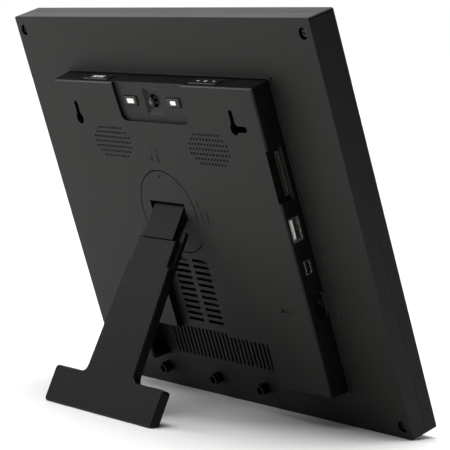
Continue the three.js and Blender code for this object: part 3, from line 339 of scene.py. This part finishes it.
# %% Metals
def rolled_steel(name, colour, roughness, along=ACROSS, streak=0.25):
    material, tree = new_material(name)
    place = add(tree, "TexCoord").outputs["Object"]
    across_grain = along.orthogonal().normalized()
    stretch = add(tree, "VectorMath", {1: across_grain}, {0: place}, operation="DOT_PRODUCT")
    lines = add(
        tree,
        "TexNoise",
        {"Scale": per_metre(streak), "Detail": 2.0},
        {"W": stretch.outputs["Value"]},
        noise_dimensions="1D",
    )
    patches = add(tree, "TexNoise", {"Scale": per_metre(4), "Detail": 2.0}, {"Vector": place})
    rough = add(
        tree,
        "MapRange",
        {"From Min": 0.3, "From Max": 0.7, "To Min": roughness, "To Max": roughness + 0.15},
        {"Value": patches.outputs["Fac"]},
    )
    round_edges = add(tree, "Bevel", {"Radius": 0.15 * MM}, samples=BEVEL_SAMPLES)
    bump = add(
        tree,
        "Bump",
        {"Distance": 0.01 * MM, "Strength": 0.5},
        {"Height": lines.outputs["Fac"], "Normal": round_edges.outputs["Normal"]},
    )
    shader = add(
        tree,
        "BsdfPrincipled",
        {"Base Color": linear(colour), "Metallic": 1.0},
        {"Roughness": rough.outputs["Result"], "Normal": bump.outputs["Normal"]},
    )
    finish_material(tree, shader)
    return material


plated_steel = rolled_steel("tin_plated_steel", "#d2d2d4", 0.22)
pin_steel = rolled_steel("ground_steel_pin", "#b4b5b8", 0.25)
black_steel = rolled_steel("black_oxide_steel", "#3c3d40", 0.35)
dull_nickel = rolled_steel("nickel_plated_steel", "#77776f", 0.4)
contact_gold = rolled_steel("gold_plated_contact", "#d9b36a", 0.25)
print("metals:", plated_steel.name, black_steel.name, contact_gold.name)

# %% [markdown]
# ## Circuit board
# Boards are glass-fibre laminate under green solder mask. The fibres show as a faint square
# weave about 0.5 mm across.


# %% Circuit board laminate
def laminate(name):
    material, tree = new_material(name)
    place = add(tree, "TexCoord").outputs["Object"]
    weave = add(
        tree,
        "TexBrick",
        {
            "Scale": per_metre(1.0),
            "Color1": linear("#1d5232"),
            "Color2": linear("#1a4a2e"),
            "Mortar": linear("#174229"),
            "Mortar Size": 0.05,
        },
        {"Vector": place},
    )
    bump = add(
        tree,
        "Bump",
        {"Distance": 0.02 * MM, "Strength": 0.3},
        {"Height": weave.outputs["Fac"]},
    )
    shader = add(
        tree,
        "BsdfPrincipled",
        {"IOR": 1.55, "Roughness": 0.35},
        {"Base Color": weave.outputs["Color"], "Normal": bump.outputs["Normal"]},
    )
    finish_material(tree, shader)
    return material


board_laminate = laminate("solder_masked_laminate")
print("board:", board_laminate.name)

# %% [markdown]
# ## The picture side: glass, card and panel
# The cover sheet is float glass, a clear sheet with a trace of dark green in it, so it is made
# mostly see-through. Behind it lies a mat cut from uncoated card, whose fibres show as soft
# mottling, and then the panel, whose polariser is a near-black film with a faint blue cast when
# it is off.


# %% Glass
GLASS_COVERAGE = 0.16


def float_glass(name):
    material, tree = new_material(name)
    place = add(tree, "TexCoord").outputs["Object"]
    smears = add(tree, "TexNoise", {"Scale": per_metre(35), "Detail": 5.0}, {"Vector": place})
    rough = add(
        tree,
        "MapRange",
        {"From Min": 0.4, "From Max": 0.8, "To Min": 0.01, "To Max": 0.06},
        {"Value": smears.outputs["Fac"]},
    )
    shader = add(
        tree,
        "BsdfPrincipled",
        {"Base Color": linear("#1c2624"), "IOR": 1.52, "Alpha": GLASS_COVERAGE},
        {"Roughness": rough.outputs["Result"]},
    )
    finish_material(tree, shader)
    return material


# %% Card and panel
def card(name, colour):
    material, tree = new_material(name)
    place = add(tree, "TexCoord").outputs["Object"]
    fibres = add(tree, "TexNoise", {"Scale": per_metre(1.2), "Detail": 8.0}, {"Vector": place})
    tint = add(
        tree,
        "Mix",
        {"A": scaled(linear(colour), 0.93), "B": linear(colour)},
        {"Factor": fibres.outputs["Fac"]},
        data_type="RGBA",
    )
    bump = add(
        tree,
        "Bump",
        {"Distance": 0.06 * MM, "Strength": 0.5},
        {"Height": fibres.outputs["Fac"]},
    )
    shader = add(
        tree,
        "BsdfPrincipled",
        {"Roughness": 0.9, "IOR": 1.45},
        {"Base Color": tint.outputs["Result"], "Normal": bump.outputs["Normal"]},
    )
    finish_material(tree, shader)
    return material


def polariser(name):
    material, tree = new_material(name)
    place = add(tree, "TexCoord").outputs["Object"]
    sheen = add(tree, "TexNoise", {"Scale": per_metre(80), "Detail": 2.0}, {"Vector": place})
    tint = add(
        tree,
        "Mix",
        {"A": linear("#0b0d12"), "B": linear("#10131b")},
        {"Factor": sheen.outputs["Fac"]},
        data_type="RGBA",
    )
    shader = add(
        tree,
        "BsdfPrincipled",
        {"Roughness": 0.22, "IOR": 1.5},
        {"Base Color": tint.outputs["Result"]},
    )
    finish_material(tree, shader)
    return material


cover_glass = float_glass("float_glass")
mat_card = card("uncoated_mat_card", "#e2dfd4")
panel_film = polariser("panel_polariser_film")
guide_acrylic = satin_abs("frosted_acrylic", "#dfe6e6", 0.35, ripple=20)
print("picture side:", cover_glass.name, mat_card.name, panel_film.name)

# %% [markdown]
# ## Give every CAD node its surface
# Each node keeps its mesh and gets the real material of its piece.


# %% Surfaces for the CAD nodes
SURFACES = {
    housing_abs: ["rear_shell"],
    cover_abs: ["electronics_cover", "turntable"],
    stand_abs: ["hinge_arm", "stand_leg"],
    bezel_abs: ["front_bezel"],
    cover_glass: ["cover_glass"],
    mat_card: ["mat_board"],
    panel_film: ["lcd_panel"],
    guide_acrylic: ["backlight_guide"],
    key_abs: ["key_left", "key_right", "power_key", "volume_rocker", "joystick_knob"],
    board_laminate: [
        "main_board",
        "card_board",
        "control_board",
        "inverter_board",
        "power_board",
        "volume_board",
    ],
    black_moulding: [
        "processor",
        "speaker_left",
        "speaker_right",
        "key_switch_left",
        "key_switch_right",
        "joystick_base",
        "joystick_rocker",
        "mini_usb_tongue",
        "dc_socket_body",
    ],
    white_moulding: ["usb_tongue"],
    foot_rubber: ["foot_pad_left", "foot_pad_right"],
    plated_steel: ["usb_shell", "mini_usb_shell"],
    dull_nickel: ["card_socket", "turntable_retainer"],
    pin_steel: ["dc_socket_pin", "joystick_plunger", "hinge_pin", "volume_pin"],
}
SCREW_NODES = [name for name in frame["nodes"] if "screw" in name]
SURFACES[black_steel] = SCREW_NODES + ["lcd_chassis", "hinge_washer_left", "hinge_washer_right"]


def dress(names, material):
    for name in names:
        mesh = frame["nodes"][name].data
        mesh.materials.clear()
        mesh.materials.append(material)


for material, names in SURFACES.items():
    dress(names, material)
dressed = sum(len(names) for names in SURFACES.values())
print("dressed", dressed, "of", len(frame["nodes"]), "nodes")

# %% [markdown]
# ## Making a piece
# New pieces are drawn flat with bmesh, moved into the housing by its placement, and given to the
# body that carries them.


# %% Piece helper
WELD = 1e-6


def piece(name, mesh, place, material, body):
    bmesh.ops.remove_doubles(mesh, verts=mesh.verts, dist=WELD)
    bmesh.ops.recalc_face_normals(mesh, faces=mesh.faces)
    bmesh.ops.transform(mesh, matrix=place, verts=mesh.verts)
    data = bpy.data.meshes.new(name)
    mesh.to_mesh(data)
    mesh.free()
    data.materials.append(material)
    thing = bpy.data.objects.new(name, data)
    bpy.context.scene.collection.objects.link(thing)
    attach(thing, body)
    return thing


def bar(mesh, x, y, z, width, height, thickness, radius=0.0):
    """A flat bar with rounded corners, its underside at z, in millimetres."""
    made = bmesh.ops.create_cube(mesh, size=1.0)["verts"]
    bmesh.ops.scale(mesh, vec=Vector((width, height, thickness)) * MM, verts=made)
    bmesh.ops.translate(mesh, vec=Vector((x, y, z + thickness / 2)) * MM, verts=made)
    if radius:
        upright = [
            edge
            for edge in {e for v in made for e in v.link_edges}
            if abs((edge.verts[0].co - edge.verts[1].co).z) > thickness * MM / 2
        ]
        bmesh.ops.bevel(
            mesh,
            geom=upright,
            offset=radius * MM,
            offset_type="OFFSET",
            affect="EDGES",
            segments=4,
            profile=0.5,
            material=-1,
        )


# %% [markdown]
# ## Printed marks
# The two keys and the power key carry white pad-printed marks. Printing leaves a film of ink a
# few hundredths of a millimetre thick with soft corners. Plain bars and dots stand for the
# words, and the rocker gets a minus, a dot and a plus.


# %% Marks on the keys
# Thickness of a printed ink film; the painted shade bars on the ridges use it too.
FILM_THICKNESS = 0.06
MARK_CORNER = 0.8


def key_mark(name, node, body, width, height):
    middle = flat_middle(node) / MM
    top = flat_box(node)[1].z / MM
    mesh = bmesh.new()
    bar(mesh, middle.x, middle.y, top, width, height, FILM_THICKNESS, radius=MARK_CORNER)
    return piece(name, mesh, HOUSING, mark_ink, body)


left_mark = key_mark("key_left_mark", "key_left", "left_key", 7.0, 3.0)
right_mark = key_mark("key_right_mark", "key_right", "right_key", 5.4, 2.6)
print("key marks:", left_mark.name, right_mark.name)


# %% Marks on the top edge
TOP_FACE = Matrix.Rotation(math.radians(-90), 4, "X")
ROUNDED = 0.3


def top_mark(name, node, body, bars):
    """Bars given as (x, width, height) along the key's upper side, in millimetres."""
    middle = flat_middle(node)
    top = flat_box(node)[1].y
    place = HOUSING @ Matrix.Translation((middle.x, top, middle.z)) @ TOP_FACE
    mesh = bmesh.new()
    for x, width, height in bars:
        bar(mesh, x, 0, 0, width, height, FILM_THICKNESS, radius=min(width, height) * ROUNDED)
    return piece(name, mesh, place, mark_ink, body)


power_bars = [(-5.6, 1.6, 3.0), (-2.6, 3.0, 3.0), (1.0, 2.6, 3.0), (4.4, 2.8, 3.0)]
power_mark = top_mark("power_key_mark", "power_key", "power_button", power_bars)
volume_bars = [(-7.6, 2.6, 0.8), (0, 1.9, 1.9), (7.6, 2.6, 0.8)]
volume_mark = top_mark("volume_rocker_mark", "volume_rocker", "volume_button", volume_bars)
print("top marks:", power_mark.name, volume_mark.name)

# %% [markdown]
# ## Marks beside the turntable
# Two raised outlines by the turntable show which way the frame stands, wide or tall. Thin
# near-black bars of painted shade lie along their ridges, so that the outlines read dark.


# %% Orientation marks
# Near-black painted shade, laid in thin bars along the ridges of the raised outlines.
ridge_painted_shade = satin_abs("painted_ridge_shade", "#040404", 0.5, ripple=3, edge=0.05, gloss=0.2)
RIDGE = 0.6


def orientation_painted_shade(name, x, y, width, height, dashes):
    """Painted shade on an outline about (x, y) and on its dashes, measured from the turntable's
    joint.
    """
    top = flat_box("electronics_cover")[1].z / MM
    mesh = bmesh.new()
    for side in (-1, 1):
        bar(mesh, x, y + side * (height - RIDGE) / 2, top, width, RIDGE, FILM_THICKNESS)
        bar(mesh, x + side * (width - RIDGE) / 2, y, top, RIDGE, height - 2 * RIDGE, FILM_THICKNESS)
    for dash_x, dash_y, dash_width, dash_height in dashes:
        bar(mesh, dash_x, dash_y, top, dash_width, dash_height, FILM_THICKNESS)
    return piece(name, mesh, HOUSING, ridge_painted_shade, "housing")


DASH_PITCH = 1.8
wide_dashes = [(DASH_PITCH * index, 40, 1.2, 0.8) for index in range(-2, 3)]
wide_mark = orientation_painted_shade("wide_mark_painted_shade", 0, 35, 7, 5, wide_dashes)
tall_mark = orientation_painted_shade("tall_mark_painted_shade", 35.5, 0, 6, 7, [(31, 7.5, 0.8, 5)])
print("orientation marks:", wide_mark.name, tall_mark.name)

# %% [markdown]
# ## The joystick's thumb dome
# The joystick's cap carries a low polished dome for the thumb, which is a bright point in a dark
# well. A turned shape is quickest as a spin: one point swings down an arc, and the arc goes
# round once. Merging the doubles closes the pole, and the open rim is then filled.


# %% Thumb dome
DOME_RADIUS = 1.6
DOME_HEIGHT = 0.5


def dome(mesh, radius, height):
    """A low dome standing on z = 0, in millimetres."""
    curve = (radius**2 + height**2) / (2 * height)
    tip = mesh.verts.new(Vector((0, 0, height)) * MM)
    centre = Vector((0, 0, height - curve)) * MM
    bmesh.ops.spin(
        mesh, geom=[tip], cent=centre, axis=(0, 1, 0), angle=math.asin(radius / curve), steps=8
    )
    bmesh.ops.spin(
        mesh,
        geom=mesh.verts[:] + mesh.edges[:],
        cent=(0, 0, 0),
        axis=(0, 0, 1),
        angle=math.tau,
        steps=32,
        use_merge=True,
    )
    bmesh.ops.remove_doubles(mesh, verts=mesh.verts, dist=WELD)
    bmesh.ops.holes_fill(mesh, edges=[edge for edge in mesh.edges if edge.is_boundary])


polished_abs = satin_abs("polished_abs_dome", "#1c1c1b", 0.12, ripple=3, edge=0.1, gloss=0.6)
dome_place = flat_middle("joystick_knob")
dome_place.z = flat_box("joystick_knob")[1].z
dome_mesh = bmesh.new()
dome(dome_mesh, DOME_RADIUS, DOME_HEIGHT)
thumb_dome = piece(
    "joystick_dome",
    dome_mesh,
    HOUSING @ Matrix.Translation(dome_place),
    polished_abs,
    "joystick_cap",
)
# Only the flat underside has more than four corners, and it stays flat.
for polygon in thumb_dome.data.polygons:
    polygon.use_smooth = len(polygon.vertices) <= 4
print("thumb dome faces:", len(thumb_dome.data.polygons))

# %% [markdown]
# ## Contacts in the sockets
# A socket's springs are stamped from bronze strip and gold plated. The USB tongue carries four
# on its inner side, and the card slot has a row of them just inside its mouth.


# %% Contacts
def contact_row(name, node, count, pitch, inset, size, above):
    """A row of springs along a socket, `inset` behind its mouth and `above` its low side."""
    low, high = (corner / MM for corner in flat_box(node))
    width, height, thickness = size
    x = high.x - inset - width / 2
    middle = (low.y + high.y) / 2
    mesh = bmesh.new()
    for index in range(count):
        y = middle + (index - (count - 1) / 2) * pitch
        bar(mesh, x, y, low.z + above, width, height, thickness)
    return piece(name, mesh, HOUSING, contact_gold, "housing")


usb_contacts = contact_row("usb_contacts", "usb_tongue", 4, 2.3, 0.6, (7.0, 1.0, 0.25), -0.25)
card_contacts = contact_row("card_contacts", "card_socket", 9, 2.5, 2.2, (4.0, 1.1, 0.3), 0.75)
print("contacts:", usb_contacts.name, card_contacts.name)

# %% [markdown]
# ## Camera and light
# The camera stands behind the object and to one side, low, with a long lens. A wide, even sun
# overhead whitens the floor and the top edges, and a weaker square light shapes the back.

# %% Camera
CAMERA_PLACE = Vector((-1.0208, 0.7457, 0.2171))
CAMERA_AIM = Vector((0.1186, -0.1099, 0.0973))
CAMERA_ROLL = math.radians(1.27)
LENS = 170.2
SENSOR_WIDTH = 36.0
camera_data = bpy.data.cameras.new("camera")
camera_data.lens = LENS
camera_data.sensor_width = SENSOR_WIDTH
camera = bpy.data.objects.new("camera", camera_data)
bpy.context.scene.collection.objects.link(camera)
camera.location = CAMERA_PLACE
level = (CAMERA_AIM - CAMERA_PLACE).to_track_quat("-Z", "Y")
camera.rotation_euler = (level @ Quaternion((0, 0, 1), CAMERA_ROLL)).to_euler()
bpy.context.scene.camera = camera
print("camera distance, m:", round((CAMERA_AIM - CAMERA_PLACE).length, 3))


# %% Lights
SUN_STRENGTH = 3.2
SUN_SPREAD = math.radians(50)
SUN_HEIGHT = 2.0


def soft_light(name, place, aim, size, power):
    data = bpy.data.lights.new(name, "AREA")
    data.shape = "SQUARE"
    data.size = size
    data.energy = power
    lamp = bpy.data.objects.new(name, data)
    bpy.context.scene.collection.objects.link(lamp)
    lamp.location = place
    lamp.rotation_euler = (Vector(aim) - Vector(place)).to_track_quat("-Z", "Y").to_euler()
    return lamp


def ceiling_light(strength, spread):
    """A wide even light from straight above, so the floor is as bright far off as near."""
    data = bpy.data.lights.new("ceiling", "SUN")
    data.energy = strength
    data.angle = spread
    lamp = bpy.data.objects.new("ceiling", data)
    bpy.context.scene.collection.objects.link(lamp)
    lamp.location = (0, 0, SUN_HEIGHT)
    return lamp


ceiling_light(SUN_STRENGTH, SUN_SPREAD)
soft_light("left", place=(0.55, 0.42, 0.42), aim=(0.1, 0, 0.17), size=0.3, power=1.7)
bpy.context.scene.view_settings.view_transform = "Standard"
print("lights:", [lamp.name for lamp in bpy.data.lights])


# %% [markdown]
# ## White surround
# A black object in a white studio is shaped by what its faces mirror. The white backdrop hangs on
# the far side, so the top edges that mirror it go pale, while the back mirrors the dim side of
# the room. A Light Path node keeps the whole surround white to the camera's own rays.

# %% Surround
BACKDROP = Vector((0.8, -0.6, 0.05)).normalized()
DIM_SIDE = 0.13
BRIGHT_SIDE = 0.85


def surround():
    world = bpy.data.worlds.new("white_surround")
    world.use_nodes = True
    tree = world.node_tree
    tree.nodes.clear()
    rays = add(tree, "LightPath")
    direction = add(tree, "TexCoord").outputs["Generated"]
    towards = add(tree, "VectorMath", {1: BACKDROP}, {0: direction}, operation="DOT_PRODUCT")
    room = add(
        tree,
        "MapRange",
        {"From Min": 0.1, "From Max": 0.7, "To Min": DIM_SIDE, "To Max": BRIGHT_SIDE},
        {"Value": towards.outputs["Value"]},
    )
    strength = add(
        tree,
        "Math",
        links={0: rays.outputs["Is Camera Ray"], 1: room.outputs["Result"]},
        operation="MAXIMUM",
    )
    colour = {"Color": (1.0, 1.0, 1.0, 1.0)}
    sky = add(tree, "Background", colour, {"Strength": strength.outputs["Value"]})
    add(tree, "OutputWorld", links={"Surface": sky.outputs["Background"]})
    bpy.context.scene.world = world
    return world


print("surround:", surround().name)

# %% [markdown]
# ## Floor
# A plain pale floor, made as one wide disc so that no edge shows from any side.


# %% Floor
FLOOR_RADIUS = 12.0


def floor():
    mesh = bmesh.new()
    bmesh.ops.create_circle(mesh, cap_ends=True, segments=96, radius=FLOOR_RADIUS)
    data = bpy.data.meshes.new("floor")
    mesh.to_mesh(data)
    mesh.free()
    thing = bpy.data.objects.new("floor", data)
    bpy.context.scene.collection.objects.link(thing)
    material, tree = new_material("pale_studio_floor")
    place = add(tree, "TexCoord").outputs["Object"]
    mottle = add(tree, "TexNoise", {"Scale": 1.5, "Detail": 2.0}, {"Vector": place})
    tint = add(
        tree,
        "Mix",
        {"A": linear("#f3f3f2"), "B": linear("#f8f8f7")},
        {"Factor": mottle.outputs["Fac"]},
        data_type="RGBA",
    )
    shader = add(tree, "BsdfPrincipled", {"Roughness": 0.7}, {"Base Color": tint.outputs["Result"]})
    finish_material(tree, shader)
    data.materials.append(material)
    return thing


studio_floor = floor()
print("floor across, m:", round(studio_floor.dimensions.x, 2))
